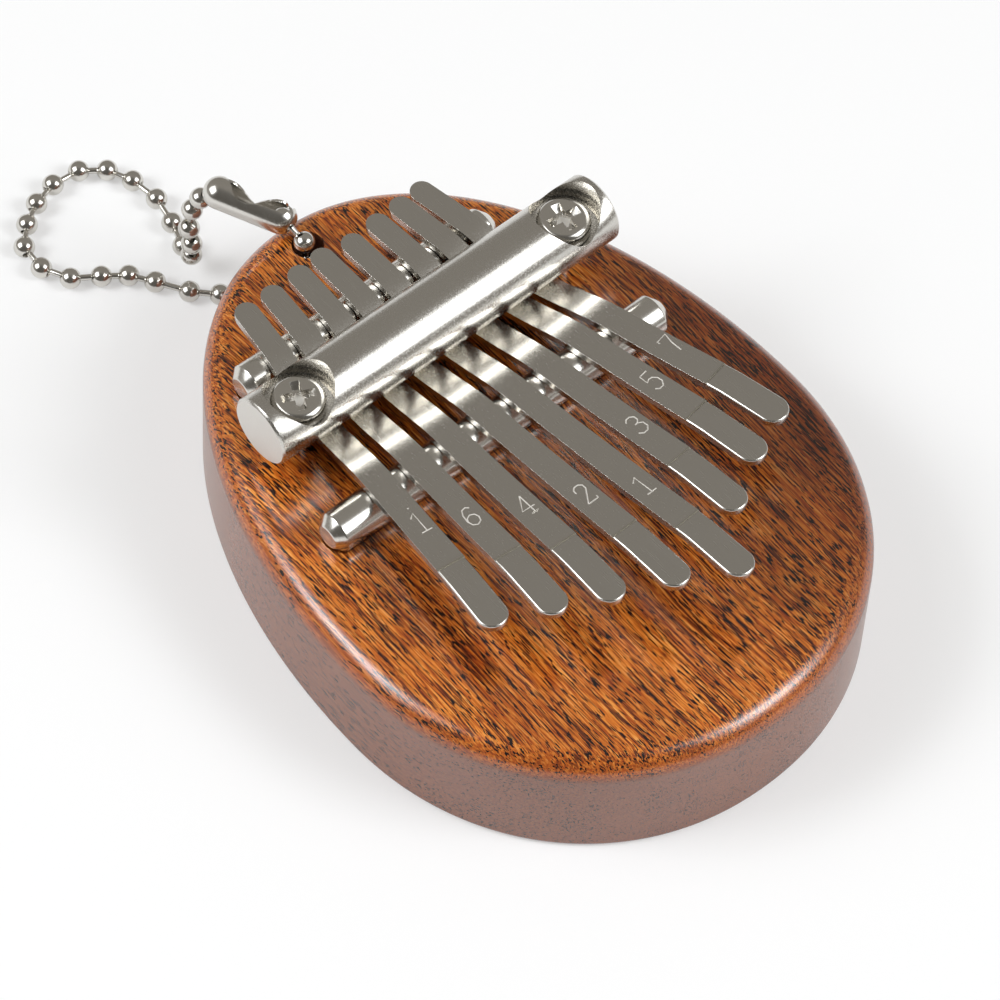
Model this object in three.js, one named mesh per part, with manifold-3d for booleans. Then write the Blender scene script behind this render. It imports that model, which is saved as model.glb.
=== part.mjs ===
// A pocket thumb piano with eight tines on an egg-shaped hardwood board, and its ball chain.
// Millimetres, +Z up. The origin is on the table, under the middle of the board, and +Y points
// to the narrow end, where the chain is fastened.
import * as THREE from 'three';
import { mergeVertices } from 'three/addons/utils/BufferGeometryUtils.js';
import Module from 'manifold-3d';

const wasm = await Module();
wasm.setup();

// Board: two half superellipses that meet on the widest line.
const board_width = 60.7;
const board_front_reach = 31.4;
const board_back_reach = 48.6;
const board_thickness = 15.5;
const top_edge_radius = 3;
const bottom_edge_radius = 0.8;
const front_power_share = 2.09;
const back_power_share = 2.06;

// The chain's hole, and the slot under the board that takes the chain out through the back edge.
const chain_hole_diameter = 3.5;
const chain_hole_inset = 4.54;
const chain_slot_depth = 3.8;

// Two round bridge rods lie in shallow beds in the board.
const bridge_diameter = 4.7;
const bridge_sink = 0.83;
const bridge_chamfer = 1;
const front_bridge_length = 46;
const rear_bridge_length = 34.5;
const rear_bridge_shift = -0.95;

// The pressure bar crosses over the tines between the bridges.
const bar_diameter = 8;
const bar_length = 46.3;
const bar_shift = 0.86;
const bar_height = 2.6;
const bar_inset = 23.52;
const bar_end_chamfer = 0.25;
const front_bridge_span = 11.94;
const rear_bridge_span = 8.15;

// Two pan head screws pull the bar down.
const screw_spacing = 36.5;
const screw_shift = 0.29;
const screw_diameter = 2.1;
const screw_head_diameter = 5.9;
const screw_head_height = 1.9;
const screw_head_rim = 0.7;
const screw_depth = 8;
const counterbore_diameter = 7.7;
const counterbore_floor = 4;
const screw_clearance = 0.3;

// Tines, from the left: their places, turns and lengths follow the tables.
const tine_thickness = 0.9;
const tine_back_width = 2.7;
const tine_tip_width = 3.5;
const tine_gap = 1.07;
const tine_place_shares = [-3.6, -2.6, -1.53, -0.573, 0.459, 1.509, 2.499, 3.385];
const tine_fan_shares = [0.111, 0.069, 0.033, -0.024, -0.053, -0.091, -0.156, -0.206];
const tine_tail = 7;
const tine_tail_shares = [0.94, 0.94, 0.97, 1, 0.92, 0.97, 1, 1.03];
const tine_tail_rise_share = 0.044;
const tine_reach = 34.1;
const tine_reach_shares = [0.641, 0.734, 0.811, 0.894, 1, 0.798, 0.69, 0.625];
const tine_rise_shares = [0.107, 0.15, 0.138, 0.126, 0.144, 0.135, 0.114, 0.14];
const tine_lift_off_share = 0.75;
const pad_length = 7.9;
const pad_bend = 2.4;
const pad_rise_share = 0.04;
const tine_names = ['high_1', '6', '4', '2', '1', '3', '5', '7'];

// Clearances: under and over the tines, between a tine's two nodes, and around bedded pieces.
const seat_gap = 0.15;
const flex_gap = 0.3;
const bed_gap = 0.15;

// Ball chain, and the snap coupling that joins its two ends.
const bead_diameter = 2.4;
const link_diameter = 0.7;
const link_gap = 0.3;
const clasp_diameter = 3.66;
const clasp_wall = 0.3;
const clasp_end_play = 0.1;
const clasp_pole_turn = 12;
const mouth_clearance = 0.4;

// The two edges of the coupling's sheet at shares of its length, from the left end: the degrees
// from straight up towards the far side of the near edge, and then of the far edge.
const clasp_edges = [
  [0, 69, 77],
  [0.1, 69, 77],
  [0.15, 62, 76],
  [0.19, 40, 75],
  [0.23, 22, 74],
  [0.27, 4, 76],
  [0.3, -19, 82],
  [0.33, -28, 88],
  [0.38, -34, 103],
  [0.47, -36, 125],
  [0.53, -28, 134],
  [0.59, -22, 116],
  [0.66, -20, 99],
  [0.72, -19, 81],
  [0.79, -17, 66],
  [0.83, -18, 72],
  [0.86, -18, 90],
  [0.91, 18, 94],
  [0.94, 60, 78],
  [1, 60, 68],
];

const overrun = 1;
const weld_share = 0.0001;
const outline_steps = 36;
const top_rim_steps = 6;
const bottom_rim_steps = 2;
const round_steps = 28;
const bar_steps = 44;
const curve_steps = 7;
const small_curve_steps = 4;
const ball_steps = 10;
const link_steps = 6;
const clasp_lanes = 14;
const clasp_trunk_steps = 18;
const clasp_dome_steps = 4;

// The route of the chain, bead by bead: out of the coupling's right pocket, down the hole, out
// through the slot, round the loop on the table and up again into the left pocket.
const chain_points = [
  [-0.74, 38.85, 17.41],
  [-0.29, 35.68, 16],
  [0, 35.46, 12.7],
  [0, 35.46, 9.3],
  [0, 35.46, 5.95],
  [0, 36.3, 2.66],
  [0, 39.4, 1.3],
  [-1.9, 42.3, 1.2],
  [-4.93, 44.2, 1.2],
  [-7.28, 46.64, 1.2],
  [-9.4, 50, 1.2],
  [-11.1, 52.5, 1.2],
  [-13.5, 54.3, 1.2],
  [-16.3, 56.2, 1.2],
  [-17.9, 59.3, 1.2],
  [-17.6, 62.7, 1.2],
  [-15.5, 64.9, 1.2],
  [-12.9, 66.5, 1.2],
  [-9.9, 67.4, 1.2],
  [-6.5, 67.1, 1.2],
  [-4, 65.2, 1.2],
  [-2.7, 62.3, 1.2],
  [-2.2, 58.7, 1.2],
  [-2.92, 55.09, 1.2],
  [-3.95, 51.9, 1.2],
  [-4.86, 49.31, 3.15],
  [-5.41, 48.57, 6.4],
  [-5.82, 48.5, 9.7],
  [-5.51, 48.35, 13],
  [-5.28, 47.19, 16.1],
  [-4.53, 45.2, 18.66],
];

// Places along the board, worked out from its two edges.
const back_edge_y = (board_front_reach + board_back_reach) / 2;
const wide_line_y = back_edge_y - board_back_reach;
const hole_y = back_edge_y - chain_hole_inset;
const bar_y = back_edge_y - bar_inset;
const front_bridge_y = bar_y - front_bridge_span;
const rear_bridge_y = bar_y + rear_bridge_span;
const bridge_radius = bridge_diameter / 2;
const bridge_z = board_thickness - bridge_sink + bridge_radius;
const bridge_top_z = bridge_z + bridge_radius;
const bar_radius = bar_diameter / 2;
const bar_z = board_thickness + bar_height + bar_radius;
const tine_pitch = tine_back_width + tine_gap;

// Looks of the pieces.
const wood = { color: 0x8a4322, roughness: 0.35, metalness: 0 };
const satin_nickel = { color: 0xb9b5ab, roughness: 0.38, metalness: 1 };
const bright_nickel = { color: 0xc9c5bb, roughness: 0.15, metalness: 1 };
const tine_steel = { color: 0xb4b0a6, roughness: 0.2, metalness: 1 };

const model = new THREE.Group();

// Solids: a geometry becomes a solid that can be joined and cut, and goes back again.
function solid(geometry) {
  const bare = geometry.index ? geometry.toNonIndexed() : geometry;
  bare.deleteAttribute('normal');
  bare.deleteAttribute('uv');
  const merged = mergeVertices(bare, overrun * weld_share);
  return new wasm.Manifold(new wasm.Mesh({
    numProp: 3,
    vertProperties: new Float32Array(merged.attributes.position.array),
    triVerts: new Uint32Array(merged.index.array),
  }));
}

function geometry_of(body) {
  const mesh = body.getMesh();
  const geometry = new THREE.BufferGeometry();
  geometry.setAttribute('position', new THREE.BufferAttribute(mesh.vertProperties, 3));
  geometry.setIndex(new THREE.BufferAttribute(mesh.triVerts, 1));
  return geometry;
}

function add_piece(name, geometry, look, parent = model) {
  const mesh = new THREE.Mesh(geometry, new THREE.MeshStandardMaterial(look));
  mesh.name = name;
  parent.add(mesh);
  return mesh;
}

// A rod along X with conical ends, about its own middle.
function rod(diameter, length, chamfer, steps = round_steps) {
  const radius = diameter / 2;
  const half = length / 2;
  const profile = [
    new THREE.Vector2(0, -half),
    new THREE.Vector2(radius - chamfer, -half),
    new THREE.Vector2(radius, chamfer - half),
    new THREE.Vector2(radius, half - chamfer),
    new THREE.Vector2(radius - chamfer, half),
    new THREE.Vector2(0, half),
  ];
  return new THREE.LatheGeometry(profile, steps).rotateZ(-Math.PI / 2);
}

// An upright cylinder that stands on a given height.
function upright(diameter, low, high, x, y, steps = round_steps) {
  const cylinder = new THREE.CylinderGeometry(diameter / 2, diameter / 2, high - low, steps);
  return cylinder.rotateX(Math.PI / 2).translate(x, y, (low + high) / 2);
}

// The egg outline of the board, from formulas for its front and back halves.
function board_outline() {
  const points = [];
  for (let i = 0; i < 2 * outline_steps; i += 1) {
    const angle = (i * Math.PI) / outline_steps;
    const front = Math.sin(angle) < 0;
    const power = 2 / (front ? front_power_share : back_power_share);
    const reach = front ? board_front_reach : board_back_reach;
    const across = Math.sign(Math.cos(angle)) * Math.abs(Math.cos(angle)) ** power;
    const along = Math.sign(Math.sin(angle)) * Math.abs(Math.sin(angle)) ** power;
    points.push(new THREE.Vector2((across * board_width) / 2, wide_line_y + along * reach));
  }
  return new THREE.Shape(points);
}

// An egg-shaped block whose upper and lower rims are both rounded by the same radius.
function rounded_block(low, high, radius, steps) {
  return new THREE.ExtrudeGeometry(board_outline(), {
    depth: high - low - 2 * radius,
    bevelThickness: radius,
    bevelSize: radius,
    bevelOffset: -radius,
    bevelSegments: steps,
    curveSegments: 1,
  }).translate(0, 0, low + radius);
}

function board_body() {
  const cut_top = board_thickness + overrun;
  const lower_rim = 2 * bottom_edge_radius;
  const upper_rim = 2 * top_edge_radius;
  const upper = rounded_block(-upper_rim, board_thickness, top_edge_radius, top_rim_steps);
  const lower_top = board_thickness + lower_rim;
  const lower = rounded_block(0, lower_top, bottom_edge_radius, bottom_rim_steps);
  let body = solid(upper).intersect(solid(lower));
  body = body.subtract(solid(upright(chain_hole_diameter, -overrun, cut_top, 0, hole_y)));
  const slot_length = chain_hole_inset + overrun;
  const slot = new THREE.BoxGeometry(chain_hole_diameter, slot_length, chain_slot_depth + overrun);
  slot.translate(0, hole_y + slot_length / 2, (chain_slot_depth - overrun) / 2);
  body = body.subtract(solid(slot));
  const bed = bridge_diameter + 2 * bed_gap;
  const beds = [
    [front_bridge_y, 0, front_bridge_length],
    [rear_bridge_y, rear_bridge_shift, rear_bridge_length],
  ];
  for (const [y, shift, length] of beds) {
    const cut = rod(bed, length + 2 * bed_gap, bridge_chamfer).translate(shift, y, bridge_z);
    body = body.subtract(solid(cut));
  }
  for (const x of screw_places()) {
    const pilot = screw_diameter + 2 * bed_gap;
    const low = board_thickness - screw_depth - screw_clearance;
    body = body.subtract(solid(upright(pilot, low, cut_top, x, bar_y)));
  }
  return body;
}

function screw_places() {
  const middle = bar_shift + screw_shift;
  return [middle - screw_spacing / 2, middle + screw_spacing / 2];
}

function bar_body() {
  let body = solid(rod(bar_diameter, bar_length, bar_end_chamfer, bar_steps));
  body = body.translate([bar_shift, bar_y, bar_z]);
  const floor = bar_z + bar_radius - counterbore_floor;
  const top = bar_z + bar_radius + overrun;
  for (const x of screw_places()) {
    body = body.subtract(solid(upright(counterbore_diameter, floor, top, x, bar_y)));
    const low = bar_z - bar_radius - overrun;
    const through = screw_diameter + 2 * screw_clearance;
    body = body.subtract(solid(upright(through, low, floor + overrun, x, bar_y)));
  }
  return body;
}

// A pan head screw about its own axis, with the underside of its head at height zero.
function screw() {
  const floor = bar_z + bar_radius - counterbore_floor + seat_gap;
  const length = floor - (board_thickness - screw_depth);
  const head = screw_head_diameter / 2;
  const shank = screw_diameter / 2;
  const profile = new THREE.Path();
  profile.moveTo(0, -length);
  profile.lineTo(shank / 2, -length);
  profile.lineTo(shank, shank - length);
  profile.lineTo(shank, 0);
  profile.lineTo(head, 0);
  profile.lineTo(head, screw_head_rim);
  profile.quadraticCurveTo(head, screw_head_height, 0, screw_head_height);
  const turned = new THREE.LatheGeometry(profile.getPoints(small_curve_steps), round_steps);
  return { geometry: turned.rotateX(Math.PI / 2), seat: floor };
}

// The side view of a tine's middle line: over the rear bridge, pressed down under the bar, over
// the front bridge, rising to the thumb pad. Distances run forward from the rear bridge.
function tine_line(index, stretch) {
  const over = bridge_top_z + seat_gap + tine_thickness / 2;
  const under = bar_z - bar_radius - seat_gap - tine_thickness / 2;
  const tail = tine_tail * tine_tail_shares[index];
  const bar_at = rear_bridge_span * stretch;
  const bridge_at = bar_at + front_bridge_span * stretch;
  const tip_at = bridge_at + tine_reach * tine_reach_shares[index] * stretch;
  const bend_at = tip_at - pad_length;
  const rise = tine_rise_shares[index];
  const bend_z = over + rise * (bend_at - bridge_at);
  const lift_off = rise * tine_lift_off_share;
  const line = new THREE.Path();
  line.moveTo(-tail, over + tail * tine_tail_rise_share);
  line.lineTo(0, over);
  const back_third = bar_at / 3;
  line.bezierCurveTo(
    back_third, over - back_third * tine_tail_rise_share, bar_at - back_third, under, bar_at, under,
  );
  const front_third = (bridge_at - bar_at) / 3;
  line.bezierCurveTo(
    bar_at + front_third, under,
    bridge_at - front_third, over - front_third * lift_off, bridge_at, over,
  );
  const leave_z = bend_z - (rise + rise - lift_off) * (pad_bend / 2);
  const middle = (bend_at - pad_bend / 2 - bridge_at) / 2;
  line.quadraticCurveTo(bridge_at + middle, over + middle * lift_off, bend_at - pad_bend / 2, leave_z);
  line.quadraticCurveTo(bend_at, bend_z, bend_at + pad_bend / 2, bend_z + pad_bend * pad_rise_share);
  line.lineTo(tip_at, bend_z + pad_length * pad_rise_share);
  return { line, tail, bridge_at, tip_at };
}

// The strip that the line carries, as wide as asked, along its own -Y.
function tine_strip(line, width) {
  const points = line.getPoints(curve_steps);
  const upper = [];
  const lower = [];
  for (let i = 0; i < points.length; i += 1) {
    const before = points[Math.max(i - 1, 0)];
    const after = points[Math.min(i + 1, points.length - 1)];
    const across = after.clone().sub(before).normalize().multiplyScalar(tine_thickness / 2);
    upper.push(new THREE.Vector2(points[i].x - across.y, points[i].y + across.x));
    lower.push(new THREE.Vector2(points[i].x + across.y, points[i].y - across.x));
  }
  const side = new THREE.Shape([...lower, ...upper.reverse()]);
  const strip = new THREE.ExtrudeGeometry(side, { depth: width, bevelEnabled: false });
  return strip.translate(0, 0, -width / 2).rotateX(Math.PI / 2).rotateZ(-Math.PI / 2);
}

// The plan of a tine: straight tapered sides and two round ends.
function tine_plan(tail, tip_at, from, to) {
  const back_half = tine_back_width / 2;
  const tip_half = tine_tip_width / 2;
  const taper = (at) => back_half + ((tip_half - back_half) * (at + tail)) / (tip_at + tail);
  const plan = new THREE.Shape();
  if (from < -tail) {
    plan.absarc(0, tail - back_half, back_half, 0, Math.PI, false);
  } else {
    plan.moveTo(taper(from), -from);
    plan.lineTo(-taper(from), -from);
  }
  if (to > tip_at) {
    plan.absarc(0, tip_half - tip_at, tip_half, Math.PI, 2 * Math.PI, false);
  } else {
    plan.lineTo(-taper(to), -to);
    plan.lineTo(taper(to), -to);
  }
  const depth = 2 * (bar_z + bar_radius);
  return new THREE.ExtrudeGeometry(plan, { depth, bevelEnabled: false, curveSegments: curve_steps });
}

// Each tine is one springy strip. Its tail is held, and the tongue in front of the bridge flexes.
function add_tine(index) {
  const turn = Math.atan(tine_fan_shares[index]);
  const { line, tail, bridge_at, tip_at } = tine_line(index, 1 / Math.cos(turn));
  const strip = solid(tine_strip(line, 2 * (tine_back_width + tine_tip_width)));
  const place = new THREE.Group();
  place.position.set(tine_pitch * tine_place_shares[index], rear_bridge_y, 0);
  place.rotation.z = -turn;
  model.add(place);
  const half_gap = flex_gap / 2;
  const parts = [
    [`tine_${tine_names[index]}_tail`, -tail - overrun, bridge_at - half_gap],
    [`tine_${tine_names[index]}_tongue`, bridge_at + half_gap, tip_at + overrun],
  ];
  for (const [name, from, to] of parts) {
    const piece = strip.intersect(solid(tine_plan(tail, tip_at, from, to)));
    add_piece(name, geometry_of(piece), tine_steel, place);
  }
}

// A straight wire from one point towards another, of the given length.
function wire(diameter, from, to, length) {
  const along = to.clone().sub(from).normalize();
  const cylinder = new THREE.CylinderGeometry(diameter / 2, diameter / 2, length, link_steps);
  const turn = new THREE.Quaternion().setFromUnitVectors(new THREE.Vector3(0, 1, 0), along);
  const middle = from.clone().addScaledVector(along, length / 2);
  return cylinder.applyQuaternion(turn).translate(middle.x, middle.y, middle.z);
}

// A ball of the chain, with the wire link that runs from it to the next ball.
function bead(here, next) {
  const radius = bead_diameter / 2;
  const ball = new THREE.SphereGeometry(radius, ball_steps, link_steps).translate(here.x, here.y, here.z);
  let body = solid(ball);
  if (next) {
    const length = here.distanceTo(next) - radius - link_gap;
    body = body.add(solid(wire(link_diameter, here, next, length)));
  }
  return body;
}

// The cross-sections of the coupling's sheet, as a place along it and a distance from its axis.
function clasp_sections(half, radius) {
  const trunk_end = half - clasp_diameter / 2;
  const sections = [];
  for (let i = 0; i < clasp_dome_steps; i += 1) {
    const pole = THREE.MathUtils.degToRad(clasp_pole_turn);
    const turn = THREE.MathUtils.lerp(pole, Math.PI / 2, i / clasp_dome_steps);
    sections.push([trunk_end + radius * Math.cos(turn), radius * Math.sin(turn)]);
  }
  const right = sections.map(([along, reach]) => [-along, reach]).reverse();
  for (let i = 0; i <= clasp_trunk_steps; i += 1) {
    sections.push([THREE.MathUtils.lerp(trunk_end, -trunk_end, i / clasp_trunk_steps), radius]);
  }
  return sections.concat(right);
}

// The near and far edges of the sheet at a share of its length.
function edges_at(share) {
  const next = Math.max(clasp_edges.findIndex((row) => row[0] >= share), 1);
  const [before, after] = [clasp_edges[next - 1], clasp_edges[next]];
  const part = (share - before[0]) / (after[0] - before[0]);
  const near = THREE.MathUtils.lerp(before[1], after[1], part);
  const far = THREE.MathUtils.lerp(before[2], after[2], part);
  return [THREE.MathUtils.degToRad(near), THREE.MathUtils.degToRad(far) - 2 * Math.PI];
}

// One face of the sheet, section by section, from its near edge round below to its far edge.
function clasp_face(half, radius) {
  const outer_sections = clasp_sections(half, clasp_diameter / 2);
  return clasp_sections(half, radius).map(([along, reach], i) => {
    const share = (half - outer_sections[i][0]) / (2 * half);
    const [near, far] = edges_at(THREE.MathUtils.clamp(share, 0, 1));
    const row = [];
    for (let j = 0; j <= clasp_lanes; j += 1) {
      const turn = THREE.MathUtils.lerp(near, far, j / clasp_lanes);
      row.push([along, -reach * Math.sin(turn), reach * Math.cos(turn)]);
    }
    return row;
  });
}

// The coupling: a folded sheet trough with a pocket at each end that holds the chain's end ball.
function clasp_body(points) {
  const right = points[0];
  const left = points[points.length - 1];
  const half = (left.distanceTo(right) + bead_diameter) / 2 + clasp_end_play + clasp_wall;
  const outer = clasp_face(half, clasp_diameter / 2);
  const inner = clasp_face(half, clasp_diameter / 2 - clasp_wall);
  const corners = [];
  const add_quad = (a, b, c, d) => corners.push(...a, ...b, ...c, ...a, ...c, ...d);
  const last_row = outer.length - 1;
  for (let i = 0; i < last_row; i += 1) {
    for (let j = 0; j < clasp_lanes; j += 1) {
      add_quad(outer[i][j], outer[i][j + 1], outer[i + 1][j + 1], outer[i + 1][j]);
      add_quad(inner[i][j], inner[i + 1][j], inner[i + 1][j + 1], inner[i][j + 1]);
    }
    add_quad(outer[i][0], outer[i + 1][0], inner[i + 1][0], inner[i][0]);
    const end = clasp_lanes;
    add_quad(outer[i][end], inner[i][end], inner[i + 1][end], outer[i + 1][end]);
  }
  for (let j = 0; j < clasp_lanes; j += 1) {
    add_quad(outer[0][j], inner[0][j], inner[0][j + 1], outer[0][j + 1]);
    add_quad(outer[last_row][j], outer[last_row][j + 1], inner[last_row][j + 1], inner[last_row][j]);
  }
  const sheet = new THREE.BufferGeometry();
  sheet.setAttribute('position', new THREE.Float32BufferAttribute(corners, 3));
  let body = solid(sheet);
  const along = left.clone().sub(right).normalize();
  const level = new THREE.Vector3(0, 0, 1).cross(along).normalize();
  const frame = new THREE.Matrix4().makeBasis(along, level, along.clone().cross(level));
  frame.setPosition(left.clone().add(right).multiplyScalar(0.5));
  body = body.transform(frame.toArray());
  const mouth = link_diameter + 2 * mouth_clearance;
  const ends = [[right, points[1]], [left, points[points.length - 2]]];
  for (const [ball, next] of ends) {
    body = body.subtract(solid(wire(mouth, ball, next, clasp_diameter)));
  }
  return body;
}

function add_chain() {
  const points = chain_points.map((place) => new THREE.Vector3(...place));
  for (let i = 0; i < points.length; i += 1) {
    const name = `chain_bead_${String(i + 1).padStart(2, '0')}`;
    add_piece(name, geometry_of(bead(points[i], points[i + 1])), bright_nickel);
  }
  add_piece('chain_clasp', geometry_of(clasp_body(points)), bright_nickel);
}

add_piece('board', geometry_of(board_body()), wood);

const front_bridge = rod(bridge_diameter, front_bridge_length, bridge_chamfer);
add_piece('front_bridge', front_bridge, bright_nickel).position.set(0, front_bridge_y, bridge_z);
const rear_bridge = rod(bridge_diameter, rear_bridge_length, bridge_chamfer);
const rear_place = new THREE.Vector3(rear_bridge_shift, rear_bridge_y, bridge_z);
add_piece('rear_bridge', rear_bridge, bright_nickel).position.copy(rear_place);

add_piece('pressure_bar', geometry_of(bar_body()), satin_nickel);

const screw_names = ['screw_left', 'screw_right'];
for (let i = 0; i < screw_names.length; i += 1) {
  const { geometry, seat } = screw();
  const mesh = add_piece(screw_names[i], geometry, bright_nickel);
  mesh.position.set(screw_places()[i], bar_y, seat);
}

for (let i = 0; i < tine_names.length; i += 1) {
  add_tine(i);
}

add_chain();

export default model;
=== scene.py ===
import math

import bmesh
import bpy
import numpy as np
from mathutils import Matrix, Vector


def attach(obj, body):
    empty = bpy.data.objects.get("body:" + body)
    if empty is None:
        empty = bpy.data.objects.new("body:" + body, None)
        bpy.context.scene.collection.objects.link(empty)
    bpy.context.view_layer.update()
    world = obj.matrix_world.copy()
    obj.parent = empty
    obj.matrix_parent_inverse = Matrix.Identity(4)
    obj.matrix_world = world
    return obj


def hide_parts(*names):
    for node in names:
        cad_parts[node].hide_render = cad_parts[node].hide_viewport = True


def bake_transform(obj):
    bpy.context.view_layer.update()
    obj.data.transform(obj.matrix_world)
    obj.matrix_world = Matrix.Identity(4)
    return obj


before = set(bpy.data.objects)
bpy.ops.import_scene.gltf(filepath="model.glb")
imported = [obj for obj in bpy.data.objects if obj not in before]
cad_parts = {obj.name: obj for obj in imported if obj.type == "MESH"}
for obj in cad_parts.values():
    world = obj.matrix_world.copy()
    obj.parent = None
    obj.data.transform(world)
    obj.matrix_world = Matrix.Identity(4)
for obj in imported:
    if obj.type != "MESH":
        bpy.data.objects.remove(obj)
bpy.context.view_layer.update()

MM = 0.001
BODY = "soundboard"

# Camera. A product photo taken from the player's front left and well above, with a long lens,
# so that the board's sides stay nearly parallel.
camera_place = Vector((-250.104, -256.085, 544.965)) * MM
camera_aim = Vector((-7.421, -4.612, 20)) * MM
camera_roll = math.radians(4.061)
camera_focal_px = 6094.91
photo_px = 1000
sensor_width_mm = 36

camera_data = bpy.data.cameras.new("camera")
camera_data.sensor_width = sensor_width_mm
camera_data.lens = sensor_width_mm * camera_focal_px / photo_px
camera_data.clip_start = 0.01
camera = bpy.data.objects.new("camera", camera_data)
bpy.context.scene.collection.objects.link(camera)
forward = (camera_aim - camera_place).normalized()
level_right = forward.cross(Vector((0, 0, 1))).normalized()
level_up = level_right.cross(forward)
right = math.cos(camera_roll) * level_right + math.sin(camera_roll) * level_up
up = math.cos(camera_roll) * level_up - math.sin(camera_roll) * level_right
turn = Matrix((right, up, -forward)).transposed().to_4x4()
camera.matrix_world = Matrix.Translation(camera_place) @ turn
bpy.context.scene.camera = camera


# Ball chain. Hollow nickel-plated balls on dumbbell wire links, the common kind for key rings.
# It runs out of the snap coupling, down through the board, out behind it, and lies in a loop.
chain_route = [
    (-0.00074, 0.03885, 0.01741),
    (-0.00029, 0.03568, 0.016),
    (0, 0.03546, 0.0127),
    (0, 0.03546, 0.0093),
    (0, 0.03546, 0.00595),
    (0, 0.0363, 0.00266),
    (0, 0.0394, 0.0013),
    (-0.0019, 0.0423, 0.0012),
    (-0.00493, 0.0442, 0.0012),
    (-0.00728, 0.04664, 0.0012),
    (-0.0094, 0.05, 0.0012),
    (-0.0111, 0.0525, 0.0012),
    (-0.0135, 0.0543, 0.0012),
    (-0.0163, 0.0562, 0.0012),
    (-0.0179, 0.0593, 0.0012),
    (-0.0176, 0.0627, 0.0012),
    (-0.0155, 0.0649, 0.0012),
    (-0.0129, 0.0665, 0.0012),
    (-0.0099, 0.0674, 0.0012),
    (-0.0065, 0.0671, 0.0012),
    (-0.004, 0.0652, 0.0012),
    (-0.0027, 0.0623, 0.0012),
    (-0.0022, 0.0587, 0.0012),
    (-0.00292, 0.05509, 0.0012),
    (-0.00395, 0.0519, 0.0012),
    (-0.00486, 0.04931, 0.00315),
    (-0.00541, 0.04857, 0.0064),
    (-0.00582, 0.0485, 0.0097),
    (-0.00551, 0.04835, 0.013),
    (-0.00528, 0.04719, 0.0161),
    (-0.00453, 0.0452, 0.01866),
]
ball_diameter = 2.4 * MM
ball_sheet = 0.18 * MM
ball_segments = 32
ball_rings = 24
# The sphere is opened this near its axis, up to the next ring: a mouth 0.92 mm wide.
ball_mouth_reach = 0.4 * MM
wire_diameter = 0.7 * MM
# The balls of one stretch of the chain are one piece: its name, first ball and last ball.
ball_stretches = [
    ("down_the_hole", 1, 7),
    ("near_side", 8, 16),
    ("far_side", 17, 25),
    ("hanging", 26, 31),
]


def linear(hex_colour):
    """The linear colour of an sRGB hex value such as 'b9b5ab'."""
    parts = [int(hex_colour[i : i + 2], 16) / 255 for i in (0, 2, 4)]
    return [c / 12.92 if c <= 0.04045 else ((c + 0.055) / 1.055) ** 2.4 for c in parts] + [1.0]


def add_node(tree, kind, links=None, values=None, **settings):
    """Adds a node with its properties and its inputs' values, and links nodes or sockets to it."""
    node = tree.nodes.new(kind)
    for name, setting in settings.items():
        setattr(node, name, setting)
    for name, value in (values or {}).items():
        node.inputs[name].default_value = value
    for name, source in (links or {}).items():
        socket = source.outputs[0] if hasattr(source, "outputs") else source
        tree.links.new(socket, node.inputs[name])
    return node


def new_material(name):
    """A new material with an empty node tree, its output and its Principled shader."""
    material = bpy.data.materials.new(name)
    material.use_nodes = True
    tree = material.node_tree
    tree.nodes.clear()
    shader = tree.nodes.new("ShaderNodeBsdfPrincipled")
    output = tree.nodes.new("ShaderNodeOutputMaterial")
    tree.links.new(shader.outputs["BSDF"], output.inputs["Surface"])
    return material, tree, shader


def deselect():
    """Leaves edit mode with nothing selected."""
    if bpy.context.object and bpy.context.object.mode != "OBJECT":
        bpy.ops.object.mode_set(mode="OBJECT")
    bpy.ops.object.select_all(action="DESELECT")


def take(piece):
    """Makes one piece the selected and active one."""
    deselect()
    piece.select_set(True)
    bpy.context.view_layer.objects.active = piece
    return piece


def named(name):
    """Names the piece that an operator has just added."""
    piece = bpy.context.object
    piece.name = name
    piece.data.name = name
    return piece


def settle(piece):
    """Puts the piece's place, turn and scale into its mesh."""
    take(piece)
    bpy.ops.object.transform_apply(location=True, rotation=True, scale=True)
    return piece


def modify(piece, kind, **settings):
    """Adds a modifier with its settings and applies it."""
    take(piece)
    modifier = piece.modifiers.new(kind.lower(), kind)
    for name, value in settings.items():
        setattr(modifier, name, value)
    bpy.ops.object.modifier_apply(modifier=modifier.name)
    return piece


def ease_edges(piece, width, segments, sharper_than):
    """Rounds the edges that are sharper than the angle in degrees."""
    limit = math.radians(sharper_than)
    settings = {"limit_method": "ANGLE", "angle_limit": limit}
    return modify(piece, "BEVEL", width=width, segments=segments, **settings)


def face_outward(piece):
    """Turns all the faces of the piece to the same side, which is outward for a solid."""
    take(piece)
    bpy.ops.object.mode_set(mode="EDIT")
    bpy.ops.mesh.select_all(action="SELECT")
    bpy.ops.mesh.normals_make_consistent(inside=False)
    bpy.ops.object.mode_set(mode="OBJECT")


def cut(piece, cutters, operation="DIFFERENCE"):
    """Cuts the cutters out of the piece, or by another operation, and deletes them."""
    for cutter in cutters:
        modify(piece, "BOOLEAN", object=cutter, operation=operation, solver="EXACT")
        bpy.data.objects.remove(cutter)
    return piece


def smooth(piece, degrees):
    """Shades the piece smooth, apart from edges sharper than the angle, and keeps flats flat."""
    take(piece)
    bpy.ops.object.shade_smooth_by_angle(angle=math.radians(degrees))
    return modify(piece, "WEIGHTED_NORMAL", weight=100, keep_sharp=True)


def dress(piece, material, slot, *nodes, body=BODY):
    """Gives a piece its material, its body and the solids it stands for. The slot is not used."""
    piece.data.materials.clear()
    piece.data.materials.append(material)
    if body:
        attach(piece, body)
    if nodes:
        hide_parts(*nodes)
    return piece


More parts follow.
